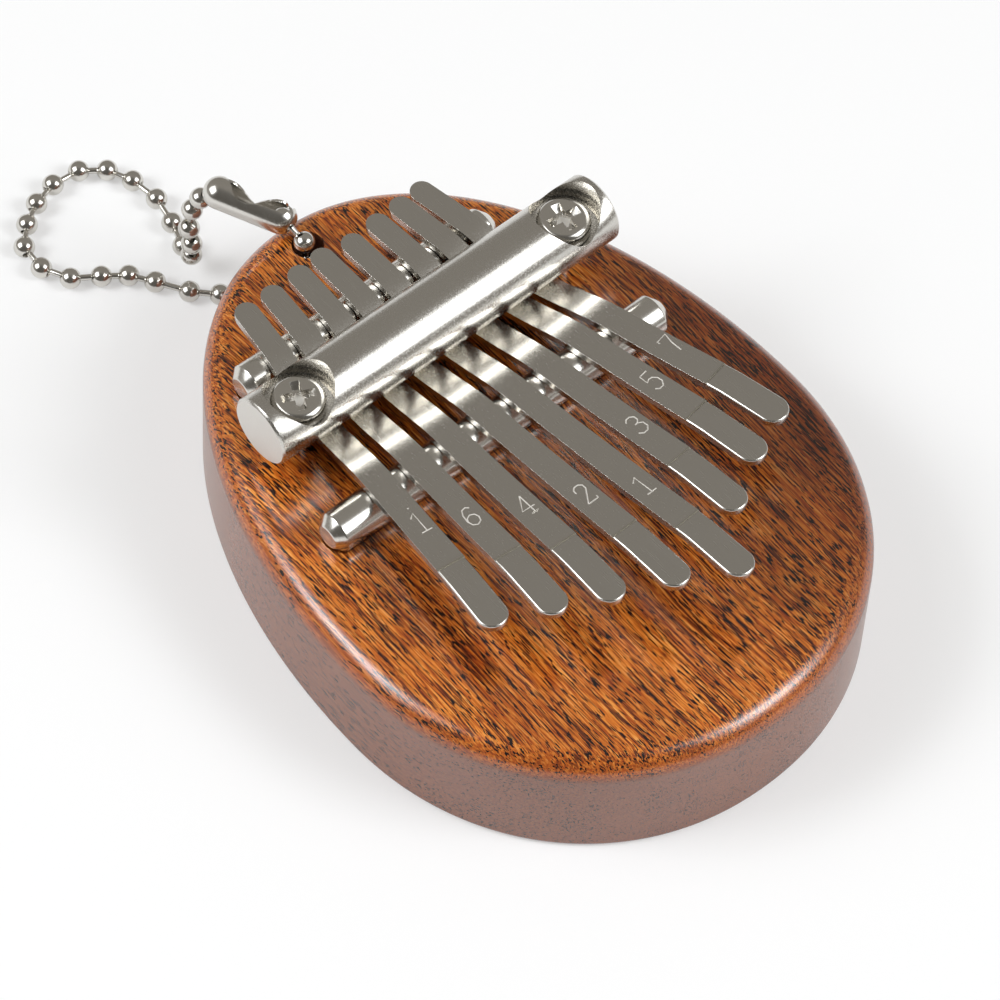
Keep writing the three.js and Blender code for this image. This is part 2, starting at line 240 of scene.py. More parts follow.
# Bright nickel plate: barrel-polished, so it mirrors the room with a trace of haze.
bright_nickel, tree, shader = new_material("bright_nickel_plate")
shader.inputs["Base Color"].default_value = linear("d8d5cf")
shader.inputs["Metallic"].default_value = 1
where = add_node(tree, "ShaderNodeTexCoord").outputs["Object"]
haze = add_node(tree, "ShaderNodeTexNoise", {"Vector": where}, {"Scale": 900, "Detail": 4})
haze_range = {"To Min": 0.12, "To Max": 0.22}
spread = add_node(tree, "ShaderNodeMapRange", {"Value": haze}, haze_range)
tree.links.new(spread.outputs[0], shader.inputs["Roughness"])

# Nickel plate over rolled or turned steel: the fine marks of the rolls and of the lathe, which
# run round the rods, blur what it mirrors.
worked_nickel, tree, shader = new_material("nickel_plate_over_worked_steel")
shader.inputs["Base Color"].default_value = linear("d8d5cf")
shader.inputs["Metallic"].default_value = 1
where = add_node(tree, "ShaderNodeTexCoord").outputs["Object"]
drawn = add_node(tree, "ShaderNodeMapping", {"Vector": where}, {"Scale": (9000, 300, 300)})
marks = add_node(tree, "ShaderNodeTexNoise", {"Vector": drawn}, {"Scale": 1, "Detail": 3})
marks_range = {"From Min": 0.3, "From Max": 0.7, "To Min": 0.16, "To Max": 0.25}
spread = add_node(tree, "ShaderNodeMapRange", {"Value": marks}, marks_range)
tree.links.new(spread.outputs[0], shader.inputs["Roughness"])
depth = {"Strength": 0.08, "Distance": 0.01 * MM}
relief = add_node(tree, "ShaderNodeBump", {"Height": marks}, depth)
tree.links.new(relief.outputs[0], shader.inputs["Normal"])

deselect()
bpy.ops.mesh.primitive_uv_sphere_add(
    segments=ball_segments, ring_count=ball_rings, radius=ball_diameter / 2
)
ball_master = named("ball_master")
bpy.ops.object.mode_set(mode="EDIT")
bpy.ops.mesh.select_all(action="DESELECT")
ball_mesh = bmesh.from_edit_mesh(ball_master.data)
for vertex in ball_mesh.verts:
    vertex.select_set(math.hypot(vertex.co.x, vertex.co.y) < ball_mouth_reach)
ball_mesh.select_flush(True)
bmesh.update_edit_mesh(ball_master.data)
bpy.ops.mesh.delete(type="VERT")
bpy.ops.object.mode_set(mode="OBJECT")
modify(ball_master, "SOLIDIFY", thickness=ball_sheet, offset=-1)
smooth(ball_master, 50)


def aim_along(piece, place, direction):
    """Moves a piece made along Z at the origin to a place, along a direction."""
    turn = Vector(direction).to_track_quat("Z", "Y").to_matrix().to_4x4()
    piece.matrix_world = Matrix.Translation(place) @ turn
    return settle(piece)


route = [Vector(point) for point in chain_route]
for stretch, first, last in ball_stretches:
    balls = []
    for i in range(first - 1, last):
        before = route[max(i - 1, 0)]
        after = route[min(i + 1, len(route) - 1)]
        along_chain = (route[i] - before).normalized() + (after - route[i]).normalized()
        ball = ball_master.copy()
        ball.data = ball_master.data.copy()
        bpy.context.scene.collection.objects.link(ball)
        balls.append(aim_along(ball, route[i], along_chain))
    deselect()
    for ball in balls:
        ball.select_set(True)
    bpy.context.view_layer.objects.active = balls[0]
    bpy.ops.object.join()
    ball_run = named(f"balls_{stretch}")
    nodes = [f"chain_bead_{number:02d}" for number in range(first, last + 1)]
    dress(ball_run, bright_nickel, "chain_nickel", *nodes)
bpy.data.objects.remove(ball_master)

wire_data = bpy.data.curves.new("chain_wire", "CURVE")
wire_data.dimensions = "3D"
wire_data.bevel_depth = wire_diameter / 2
wire_data.bevel_resolution = 3
wire_line = wire_data.splines.new("POLY")
wire_line.points.add(len(route) - 1)
for point, place in zip(wire_line.points, route):
    point.co = (*place, 1)
chain_wire = bpy.data.objects.new("chain_wire", wire_data)
bpy.context.scene.collection.objects.link(chain_wire)
dress(chain_wire, bright_nickel, "chain_nickel")


# Snap coupling. One piece of nickel-plated sheet folded to a trough, with a ball pocket at each
# end. The left pocket is hooded on the near side, and the right one stands up on the far side.
clasp_diameter = 3.66 * MM
clasp_sheet = 0.3 * MM
clasp_end_play = 0.1 * MM
clasp_dome = math.radians(78)
clasp_edge_radius = 0.05 * MM
mouth_diameter = 1.5 * MM
sheet_rows = 110
sheet_lanes = 64
# At shares of the length from the left end: degrees from straight up towards the far side of the
# sheet's near edge, and of its far edge.
sheet_edges = [
    (0, 69, 77),
    (0.1, 69, 77),
    (0.15, 62, 76),
    (0.19, 40, 75),
    (0.23, 22, 74),
    (0.27, 4, 76),
    (0.3, -19, 82),
    (0.33, -28, 88),
    (0.38, -34, 103),
    (0.47, -36, 125),
    (0.53, -28, 134),
    (0.59, -22, 116),
    (0.66, -20, 99),
    (0.72, -19, 81),
    (0.79, -17, 66),
    (0.83, -18, 72),
    (0.86, -18, 90),
    (0.91, 18, 94),
    (0.94, 60, 78),
    (1, 60, 68),
]

right_ball = route[0]
left_ball = route[-1]
clasp_along = (left_ball - right_ball).normalized()
clasp_level = Vector((0, 0, 1)).cross(clasp_along).normalized()
clasp_turn = Matrix((clasp_along, clasp_level, clasp_along.cross(clasp_level))).transposed()
clasp_half = ((left_ball - right_ball).length + ball_diameter) / 2 + clasp_end_play + clasp_sheet
clasp_radius = clasp_diameter / 2
edge_shares, near_edges, far_edges = np.array(sheet_edges, float).T

deselect()
bpy.ops.mesh.primitive_grid_add(x_subdivisions=sheet_lanes, y_subdivisions=sheet_rows, size=2)
clasp = named("snap_coupling")
straight = clasp_half - clasp_radius
for vertex in clasp.data.vertices:
    # The rows go straight along the trough, then round the dome at its end.
    travel = abs(vertex.co.y) * (straight + clasp_radius * clasp_dome)
    over = max(travel - straight, 0) / clasp_radius
    along = min(travel, straight) + clasp_radius * math.sin(over)
    along = math.copysign(along, vertex.co.y)
    reach = clasp_radius * math.cos(over)
    share = (clasp_half - along) / (2 * clasp_half)
    near = math.radians(np.interp(share, edge_shares, near_edges))
    far = math.radians(np.interp(share, edge_shares, far_edges) - 360)
    round_to = near + (far - near) * (vertex.co.x + 1) / 2
    vertex.co = (along, -reach * math.sin(round_to), reach * math.cos(round_to))
clasp.matrix_world = Matrix.Translation((left_ball + right_ball) / 2) @ clasp_turn.to_4x4()
settle(clasp)
face_outward(clasp)
# An open sheet's faces may turn either way, so a face near the left ball says which side is out.
middle_face = min(clasp.data.polygons, key=lambda face: (face.center - left_ball).length)
outward = middle_face.normal.dot(middle_face.center - left_ball) > 0
inward = -1 if outward else 1
modify(clasp, "SOLIDIFY", thickness=clasp_sheet, offset=inward, use_even_offset=True)
mouths = []
for ball_place, next_place in ((right_ball, route[1]), (left_ball, route[-2])):
    deselect()
    bpy.ops.mesh.primitive_cylinder_add(
        vertices=32,
        radius=mouth_diameter / 2,
        depth=clasp_diameter,
        location=(0, 0, clasp_diameter / 2),
    )
    mouth = settle(named("mouth"))
    mouths.append(aim_along(mouth, ball_place, next_place - ball_place))
cut(clasp, mouths)
ease_edges(clasp, clasp_edge_radius, 2, sharper_than=50)
smooth(clasp, 40)
dress(clasp, worked_nickel, "chain_nickel", "chain_clasp")


# Board. One block of open-pored reddish hardwood, sawn to an egg, its rims rounded over with a
# router, its face lacquered. The chain's hole and the two rods' beds are cut into it.
board_width = 60.7 * MM
board_front_reach = 31.4 * MM
board_back_reach = 48.6 * MM
board_thickness = 15.5 * MM
front_power = 2.09
back_power = 2.06
top_edge_radius = 3 * MM
bottom_edge_radius = 0.8 * MM
top_edge_segments = 10
bottom_edge_segments = 4
chain_hole_diameter = 3.5 * MM
chain_hole_inset = 4.54 * MM
chain_slot_depth = 3.8 * MM
outline_steps = 256

back_edge_y = (board_front_reach + board_back_reach) / 2
wide_line_y = back_edge_y - board_back_reach
hole_y = back_edge_y - chain_hole_inset

# Lacquered open-pored hardwood: orange-brown fibres among thin darker ones, broad darker bands and
# short black vessels, all along Y, and painted shade that makes it redder and darker towards the
# front right. The rounded rim is evener in colour, and the sawn sides are dull and even.
board_wood, tree, shader = new_material("lacquered_open_pored_hardwood")
coordinates = add_node(tree, "ShaderNodeTexCoord")
where = coordinates.outputs["Object"]
sway = add_node(tree, "ShaderNodeTexNoise", {"Vector": where}, {"Scale": 22, "Detail": 1})
middle = {1: (0.5, 0.5, 0.5)}
off_middle = add_node(
    tree, "ShaderNodeVectorMath", {0: sway.outputs["Color"]}, middle, operation="SUBTRACT"
)
sway_size = {1: (0.0035, 0, 0.0035)}
drift = add_node(tree, "ShaderNodeVectorMath", {0: off_middle}, sway_size, operation="MULTIPLY")
grain = add_node(tree, "ShaderNodeVectorMath", {0: where, 1: drift}, operation="ADD")

fibre_map = add_node(tree, "ShaderNodeMapping", {"Vector": grain}, {"Scale": (6400, 250, 4300)})
fibre = add_node(
    tree, "ShaderNodeTexNoise", {"Vector": fibre_map}, {"Scale": 1, "Detail": 4, "Roughness": 0.62}
)
fibre_ramp = add_node(tree, "ShaderNodeValToRGB", {"Fac": fibre})
elements = fibre_ramp.color_ramp.elements
for place, colour in [
    (0.3, "66200a"),
    (0.41, "ac4d13"),
    (0.5, "d2731f"),
    (0.59, "e99138"),
    (0.7, "f6b264"),
]:
    elements.new(place).color = linear(colour)
elements.remove(elements[0])
elements.remove(elements[-1])

line_map = add_node(tree, "ShaderNodeMapping", {"Vector": grain}, {"Scale": (4600, 150, 3300)})
line = add_node(tree, "ShaderNodeTexNoise", {"Vector": line_map}, {"Scale": 1, "Detail": 2})
line_range = {"From Min": 0.53, "From Max": 0.61, "To Max": 0.9}
line_share = add_node(tree, "ShaderNodeMapRange", {"Value": line}, line_range)
lined = add_node(
    tree,
    "ShaderNodeMix",
    {0: line_share, 6: fibre_ramp},
    {7: linear("4a1405")},
    data_type="RGBA",
)

band_map = add_node(
    tree, "ShaderNodeMapping", {"Vector": grain}, {"Scale": (190, 9, 150), "Rotation": (0, 0, 0.03)}
)
band = add_node(tree, "ShaderNodeTexNoise", {"Vector": band_map}, {"Scale": 1, "Detail": 3})
band_range = {"From Min": 0.5, "From Max": 0.72, "To Max": 0.45}
band_share = add_node(tree, "ShaderNodeMapRange", {"Value": band}, band_range)
banded = add_node(
    tree,
    "ShaderNodeMix",
    {0: band_share, 6: lined.outputs[2]},
    {7: linear("8e4327")},
    data_type="RGBA",
    blend_type="MULTIPLY",
)

# Painted shade: a multiply darkens and reddens the wood towards the front right, fading out towards
# the back.
sides = add_node(tree, "ShaderNodeSeparateXYZ", {"Vector": where})
right_range = {"From Min": 0.004, "From Max": 0.027, "To Max": 0.85}
right_side = add_node(tree, "ShaderNodeMapRange", {"Value": sides.outputs["X"]}, right_range)
front_range = {"From Min": 0.022, "From Max": 0.004}
front_side = add_node(tree, "ShaderNodeMapRange", {"Value": sides.outputs["Y"]}, front_range)
front_right_shade_share = add_node(
    tree, "ShaderNodeMath", {0: right_side, 1: front_side}, operation="MULTIPLY"
)
painted_shade_front_right = add_node(
    tree,
    "ShaderNodeMix",
    {0: front_right_shade_share, 6: banded.outputs[2]},
    {7: linear("6a4038")},
    data_type="RGBA",
    blend_type="MULTIPLY",
)

facing = add_node(tree, "ShaderNodeSeparateXYZ", {"Vector": coordinates.outputs["Normal"]})
sawn_range = {"From Min": 0.45, "From Max": 0.1}
sawn = add_node(tree, "ShaderNodeMapRange", {"Value": facing.outputs["Z"]}, sawn_range)
sawn_share = add_node(tree, "ShaderNodeMath", {0: sawn}, {1: 0.82}, operation="MULTIPLY")
turned_range = {"From Min": 0.95, "From Max": 0.6, "To Max": 0.55}
turned_share = add_node(tree, "ShaderNodeMapRange", {"Value": facing.outputs["Z"]}, turned_range)
turned = add_node(
    tree,
    "ShaderNodeMix",
    {0: turned_share, 6: painted_shade_front_right.outputs[2]},
    {7: linear("a8521f")},
    data_type="RGBA",
)
whole = add_node(
    tree,
    "ShaderNodeMix",
    {0: sawn_share, 6: turned.outputs[2]},
    {7: linear("7a5142")},
    data_type="RGBA",
)

vessel_map = add_node(tree, "ShaderNodeMapping", {"Vector": grain}, {"Scale": (6000, 640, 5000)})
vessel = add_node(tree, "ShaderNodeTexNoise", {"Vector": vessel_map}, {"Scale": 1, "Detail": 1})
field_map = add_node(tree, "ShaderNodeMapping", {"Vector": where}, {"Scale": (330, 60, 330)})
field = add_node(tree, "ShaderNodeTexNoise", {"Vector": field_map}, {"Scale": 1, "Detail": 1})
field_range = {"From Min": 0.35, "From Max": 0.65, "To Min": -0.03, "To Max": 0.05}
field_lift = add_node(tree, "ShaderNodeMapRange", {"Value": field}, field_range)
lifted = add_node(tree, "ShaderNodeMath", {0: vessel, 1: field_lift}, operation="ADD")
closed_range = {"From Min": 0.85, "From Max": 0.3, "To Max": 0.048}
closed = add_node(tree, "ShaderNodeMapRange", {"Value": facing.outputs["Z"]}, closed_range)
thinned = add_node(tree, "ShaderNodeMath", {0: lifted, 1: closed}, operation="SUBTRACT")
vessel_range = {"From Min": 0.592, "From Max": 0.615}
open_vessel = add_node(tree, "ShaderNodeMapRange", {"Value": thinned}, vessel_range)
wood_colour = add_node(
    tree,
    "ShaderNodeMix",
    {0: open_vessel, 6: whole.outputs[2]},
    {7: linear("180804")},
    data_type="RGBA",
)
tree.links.new(wood_colour.outputs[2], shader.inputs["Base Color"])
sheen_range = {"To Min": 0.5, "To Max": 0.7}
spread = add_node(tree, "ShaderNodeMapRange", {"Value": sawn}, sheen_range)
tree.links.new(spread.outputs[0], shader.inputs["Roughness"])
depth = {"Strength": 0.6, "Distance": -0.06 * MM}
relief = add_node(tree, "ShaderNodeBump", {"Height": open_vessel}, depth)
tree.links.new(relief.outputs[0], shader.inputs["Normal"])
shader.inputs["Coat Weight"].default_value = 1
shader.inputs["Coat Roughness"].default_value = 0.22
shader.inputs["Coat IOR"].default_value = 1.65
shader.inputs["Specular IOR Level"].default_value = 0.1

deselect()
bpy.ops.mesh.primitive_circle_add(vertices=outline_steps, radius=1, fill_type="NGON")
board = named("egg_board")
for vertex in board.data.vertices:
    angle = math.atan2(vertex.co.y, vertex.co.x)
    front = vertex.co.y < 0
    power = 2 / (front_power if front else back_power)
    reach = board_front_reach if front else board_back_reach
    across = math.copysign(abs(math.cos(angle)) ** power, math.cos(angle))
    along = math.copysign(abs(math.sin(angle)) ** power, math.sin(angle))
    vertex.co = (across * board_width / 2, wide_line_y + along * reach, 0)


def draw_up(outline, height):
    """Draws a flat outline up into a prism."""
    take(outline)
    bpy.ops.object.mode_set(mode="EDIT")
    bpy.ops.mesh.select_all(action="SELECT")
    bpy.ops.mesh.extrude_region_move(TRANSFORM_OT_translate={"value": (0, 0, height)})
    bpy.ops.object.mode_set(mode="OBJECT")
    face_outward(outline)


def round_edges(piece, picks, radius, segments):
    """Rounds the edges of the piece that a test picks."""
    take(piece)
    bpy.ops.object.mode_set(mode="EDIT")
    bpy.ops.mesh.select_mode(type="EDGE")
    bpy.ops.mesh.select_all(action="DESELECT")
    shape = bmesh.from_edit_mesh(piece.data)
    for edge in shape.edges:
        edge.select_set(picks(edge))
    bmesh.update_edit_mesh(piece.data)
    bpy.ops.mesh.bevel(offset=radius, offset_type="OFFSET", segments=segments, profile=0.5)
    bpy.ops.object.mode_set(mode="OBJECT")


def level_at(height):
    """A test that picks the edges lying level at a height."""
    return lambda edge: all(abs(vertex.co.z - height) < 1e-6 for vertex in edge.verts)


draw_up(board, board_thickness)
round_edges(board, level_at(board_thickness), top_edge_radius, top_edge_segments)
round_edges(board, level_at(0), bottom_edge_radius, bottom_edge_segments)


def upright(name, diameter, low, high, x, y, vertices=96):
    """An upright round bar between two heights."""
    deselect()
    middle = (x, y, (low + high) / 2)
    bpy.ops.mesh.primitive_cylinder_add(
        vertices=vertices, radius=diameter / 2, depth=high - low, location=middle
    )
    return settle(named(name))


# How far a cutter runs out beyond what it cuts.
overrun = 1 * MM
hole = upright("hole", chain_hole_diameter, -overrun, board_thickness + overrun, 0, hole_y)
deselect()
slot_length = chain_hole_inset + overrun
slot_middle = (0, hole_y + slot_length / 2, (chain_slot_depth - overrun) / 2)
bpy.ops.mesh.primitive_cube_add(size=1, location=slot_middle)
slot = named("slot")
slot.scale = (chain_hole_diameter, slot_length, chain_slot_depth + overrun)
cut(board, [hole, settle(slot)])


def round_rod(name, diameter, length, chamfer, place, vertices=96):
    """A rod along X: its two caps are drawn out and narrowed to conical ends."""
    deselect()
    bpy.ops.mesh.primitive_cylinder_add(
        vertices=vertices, radius=diameter / 2, depth=length - 2 * chamfer
    )
    rod = named(name)
    narrow = 1 - 2 * chamfer / diameter
    for side in (-1, 1):
        take(rod)
        bpy.ops.object.mode_set(mode="EDIT")
        bpy.ops.mesh.select_mode(type="FACE")
        bpy.ops.mesh.select_all(action="DESELECT")
        shape = bmesh.from_edit_mesh(rod.data)
        for face in shape.faces:
            face.select_set(face.normal.z * side > 0.9)
        bmesh.update_edit_mesh(rod.data)
        bpy.ops.mesh.extrude_region_move(TRANSFORM_OT_translate={"value": (0, 0, side * chamfer)})
        bpy.ops.transform.resize(value=(narrow, narrow, 1), center_override=(0, 0, 0))
        bpy.ops.object.mode_set(mode="OBJECT")
    rod.rotation_euler = (0, math.pi / 2, 0)
    rod.location = place
    return settle(rod)


bridge_diameter = 4.7 * MM
bridge_sink = 0.83 * MM
bridge_chamfer = 1 * MM
bridge_edge_radius = 0.12 * MM
bed_gap = 0.15 * MM
bar_inset = 23.52 * MM
front_bridge_span = 11.94 * MM
rear_bridge_span = 8.15 * MM
bar_y = back_edge_y - bar_inset
bridge_z = board_thickness - bridge_sink + bridge_diameter / 2
bridge_top_z = bridge_z + bridge_diameter / 2
front_bridge_y = bar_y - front_bridge_span
rear_bridge_y = bar_y + rear_bridge_span
bridges = [
    ("front_bridge", 46 * MM, 0, front_bridge_y),
    ("rear_bridge", 34.5 * MM, -0.95 * MM, rear_bridge_y),
]
beds = []
for node, length, shift, y in bridges:
    bed_size = (bridge_diameter + 2 * bed_gap, length + 2 * bed_gap, bridge_chamfer)
    beds.append(round_rod("bed", *bed_size, (shift, y, bridge_z)))
cut(board, beds)
smooth(board, 35)
dress(board, board_wood, "board_wood", "board")


# Bridges. Two polished steel rods with turned conical ends, lying in shallow beds. The front one
# is the longer, and the tines sound from it forwards.
for node, length, shift, y in bridges:
    rod = round_rod(f"{node}_rod", bridge_diameter, length, bridge_chamfer, (shift, y, bridge_z))
    ease_edges(rod, bridge_edge_radius, 3, sharper_than=30)
    smooth(rod, 40)
    dress(rod, worked_nickel, "rod_nickel", node)


# Pressure bar. Thick round steel bar, nickel plated over a fine blasted finish, with a
# counterbore for a screw head near each end. Its sawn ends are faced flat and stay dull.
bar_diameter = 8 * MM
bar_length = 46.3 * MM
bar_shift = 0.86 * MM
bar_height = 2.6 * MM
bar_end_chamfer = 0.25 * MM
bar_edge_radius = 0.12 * MM
screw_spacing = 36.5 * MM
screw_shift = 0.29 * MM
counterbore_diameter = 7.7 * MM
counterbore_floor = 4 * MM
screw_hole_diameter = 2.7 * MM
counterbore_sides = 240
bar_sides = 160

bar_z = board_thickness + bar_height + bar_diameter / 2
bar_top_z = bar_z + bar_diameter / 2
counterbore_z = bar_top_z - counterbore_floor
screws_middle = bar_shift + screw_shift
screw_places = [screws_middle - screw_spacing / 2, screws_middle + screw_spacing / 2]

# Satin nickel: the plate follows the blasted steel, so highlights break up into fine specks.
satin_nickel, tree, shader = new_material("satin_nickel_plate")
shader.inputs["Base Color"].default_value = linear("d2cfc9")
shader.inputs["Metallic"].default_value = 1
where = add_node(tree, "ShaderNodeTexCoord").outputs["Object"]
grit = add_node(tree, "ShaderNodeTexNoise", {"Vector": where}, {"Scale": 5200, "Detail": 2})
grit_range = {"From Min": 0.3, "From Max": 0.7, "To Min": 0.18, "To Max": 0.3}
spread = add_node(tree, "ShaderNodeMapRange", {"Value": grit}, grit_range)
tree.links.new(spread.outputs[0], shader.inputs["Roughness"])
depth = {"Strength": 0.25, "Distance": 0.03 * MM}
relief = add_node(tree, "ShaderNodeBump", {"Height": grit}, depth)
tree.links.new(relief.outputs[0], shader.inputs["Normal"])

# Faced steel: the cutter leaves fine rings round the bar's axis, and the face scatters light.
faced_steel, tree, shader = new_material("faced_steel")
shader.inputs["Base Color"].default_value = linear("e2dfda")
shader.inputs["Metallic"].default_value = 1
shader.inputs["Roughness"].default_value = 0.5
where = add_node(tree, "ShaderNodeTexCoord").outputs["Object"]
axis = {"Location": (0, -bar_y, -bar_z)}
centred = add_node(tree, "ShaderNodeMapping", {"Vector": where}, axis)
rings = add_node(
    tree,
    "ShaderNodeTexWave",
    {"Vector": centred},
    {"Scale": 700, "Distortion": 1.5},
    wave_type="RINGS",
    rings_direction="X",
)
depth = {"Strength": 0.25, "Distance": 0.02 * MM}
relief = add_node(tree, "ShaderNodeBump", {"Height": rings}, depth)
tree.links.new(relief.outputs[0], shader.inputs["Normal"])

bar_middle = (bar_shift, bar_y, bar_z)
bar = round_rod(
    "round_pressure_bar", bar_diameter, bar_length, bar_end_chamfer, bar_middle, bar_sides
)
cutters = []
for x in screw_places:
    wide = (counterbore_diameter, counterbore_z, bar_top_z + overrun, x, bar_y)
    cutters.append(upright("counterbore", *wide, counterbore_sides))
    narrow = (screw_hole_diameter, board_thickness, counterbore_z + overrun, x, bar_y)
    cutters.append(upright("screw_hole", *narrow))
cut(bar, cutters)
ease_edges(bar, bar_edge_radius, 2, sharper_than=40)
smooth(bar, 40)
dress(bar, satin_nickel, "bar_nickel", "pressure_bar")
bar.data.materials.append(faced_steel)
for face in bar.data.polygons:
    at_end = abs(face.center.x - bar_shift) > bar_length / 2 - 0.1 * MM
    if at_end and abs(face.normal.x) > 0.99:
        face.material_index = 1


# Screws. Two nickel-plated pan head screws with cross recesses, one in each counterbore, each
# turned as the driver left it. A recess is two crossed tapered boxes and a deeper square core.
screw_head_diameter = 5.9 * MM
screw_head_height = 1.9 * MM
screw_head_rim = 0.85 * MM
screw_head_segments = 8
screw_edge_radius = 0.06 * MM
screw_diameter = 2.1 * MM
screw_seat_gap = 0.15 * MM
screw_depth = 8 * MM
shank_overlap = 0.3 * MM
recess_span = 4 * MM
recess_width = 1.05 * MM
recess_depth = 0.8 * MM
recess_core = 2.3 * MM
recess_core_floor = 1.8 * MM
recess_core_depth = 1.05 * MM
# The shares of its length and width that each of the two boxes keeps at its floor.
recess_length_share = 0.62
recess_width_share = 0.8
wing_overrun = 0.2 * MM
recess_turns = [-25, -8]

# Struck steel: a punch leaves the bottom of a cross recess, and of a stamped number, rough, so it
# catches light from every side and stands out pale.
struck_steel, tree, shader = new_material("struck_steel")
shader.inputs["Base Color"].default_value = linear("e6e3de")
shader.inputs["Metallic"].default_value = 1
shader.inputs["Roughness"].default_value = 0.75
where = add_node(tree, "ShaderNodeTexCoord").outputs["Object"]
pits = add_node(tree, "ShaderNodeTexNoise", {"Vector": where}, {"Scale": 9000, "Detail": 2})
depth = {"Strength": 0.3, "Distance": 0.02 * MM}
relief = add_node(tree, "ShaderNodeBump", {"Height": pits}, depth)
tree.links.new(relief.outputs[0], shader.inputs["Normal"])


def recess_wing(turn, top_z, x):
    """A tapered box that cuts two opposite wings of a cross recess."""
    deselect()
    bpy.ops.mesh.primitive_cube_add(size=1)
    wing = named("wing")
    for vertex in wing.data.vertices:
        deep = vertex.co.z < 0
        vertex.co.x *= recess_span * (recess_length_share if deep else 1)
        vertex.co.y *= recess_width * (recess_width_share if deep else 1)
        vertex.co.z = -recess_depth if deep else wing_overrun
    wing.matrix_world = Matrix.Translation((x, bar_y, top_z)) @ Matrix.Rotation(turn, 4, "Z")
    return settle(wing)


for side, x, turn in zip(("left", "right"), screw_places, recess_turns):
    seat = counterbore_z + screw_seat_gap
    top_z = seat + screw_head_height
    head = upright(f"pan_head_screw_{side}", screw_head_diameter, seat, top_z, x, bar_y)
    round_edges(head, level_at(top_z), screw_head_rim, screw_head_segments)
    point = board_thickness - screw_depth
    shank = upright("shank", screw_diameter, point, seat + shank_overlap, x, bar_y)
    cut(head, [shank], "UNION")
    deselect()
    bpy.ops.mesh.primitive_cone_add(
        vertices=4,
        radius1=recess_core_floor / 2,
        radius2=recess_core / 2,
        depth=recess_core_depth + overrun,
        location=(x, bar_y, top_z + (overrun - recess_core_depth) / 2),
        rotation=(0, 0, math.radians(turn)),
    )
    core = settle(named("core"))
    wings = [recess_wing(math.radians(turn + quarter), top_z, x) for quarter in (0, 90)]
    cut(head, [*wings, core])
    ease_edges(head, screw_edge_radius, 2, sharper_than=35)
    smooth(head, 40)
    dress(head, bright_nickel, "screw_nickel", f"screw_{side}")
    head.data.materials.append(struck_steel)
    for face in head.data.polygons:
        in_core = math.hypot(face.center.x - x, face.center.y - bar_y) < recess_core / 2
        deep = face.center.z < top_z - recess_core_depth * 0.9
        if in_core and deep and face.normal.z > 0.3:
            face.material_index = 1


# Tines. Eight strips of spring steel, blanked with round ends, set up at the thumb pads and
# nickel plated. The bar bends them down between the two bridges. Each is stamped with a number.
tine_thickness = 0.9 * MM
tine_back_width = 2.7 * MM
tine_tip_width = 3.5 * MM
tine_gap = 1.07 * MM
tine_pitch = tine_back_width + tine_gap
seat_gap = 0.15 * MM
tine_tail = 7 * MM
tine_tail_rise = 0.044
tine_reach = 34.1 * MM
tine_lift_off_share = 0.75
pad_length = 7.9 * MM
pad_bend = 2.4 * MM
pad_rise = 0.04
pad_edge_radius = 0.24 * MM
pad_edge_segments = 5
tine_edge_radius = 0.13 * MM
crease_shade_width = 0.17 * MM
line_steps = 24
plan_steps = 40
# Each tine's number, its place across the rear bridge in pitches, how far it fans to the left for
# each step forward, its shares of the longest tail and reach, and its slope up to the pad.
tines = [
    ("high_1", -3.6, 0.111, 0.94, 0.641, 0.107),
    ("6", -2.6, 0.069, 0.94, 0.734, 0.15),
    ("4", -1.53, 0.033, 0.97, 0.811, 0.138),
    ("2", -0.573, -0.024, 1, 0.894, 0.126),
    ("1", 0.459, -0.053, 0.92, 1, 0.144),
    ("3", 1.509, -0.091, 0.97, 0.798, 0.135),
    ("5", 2.499, -0.156, 1, 0.69, 0.114),
    ("7", 3.385, -0.206, 1.03, 0.625, 0.14),
]

# Nickel-plated spring steel: bright and even, with faint polishing lines along the strip.
tine_steel, tree, shader = new_material("plated_spring_steel")
shader.inputs["Base Color"].default_value = linear("d0cdc7")
shader.inputs["Metallic"].default_value = 1
where = add_node(tree, "ShaderNodeTexCoord").outputs["Object"]
drawn = add_node(tree, "ShaderNodeMapping", {"Vector": where}, {"Scale": (9000, 260, 9000)})
polish = add_node(
    tree, "ShaderNodeTexNoise", {"Vector": drawn}, {"Scale": 1, "Detail": 3, "Roughness": 0.6}
)
polish_range = {"From Min": 0.3, "From Max": 0.7, "To Min": 0.16, "To Max": 0.28}
spread = add_node(tree, "ShaderNodeMapRange", {"Value": polish}, polish_range)
tree.links.new(spread.outputs[0], shader.inputs["Roughness"])
depth = {"Strength": 0.15, "Distance": 0.02 * MM}
relief = add_node(tree, "ShaderNodeBump", {"Height": polish}, depth)
tree.links.new(relief.outputs[0], shader.inputs["Normal"])


def bezier(a, b, c, d, t):
    """A point of a cubic curve, at a share of its way."""
    return a * (1 - t) ** 3 + 3 * b * t * (1 - t) ** 2 + 3 * c * t * t * (1 - t) + d * t**3


def arch(a, b, c, t):
    """A point of a quadratic curve, at a share of its way."""
    return (1 - t) ** 2 * a + 2 * t * (1 - t) * b + t * t * c


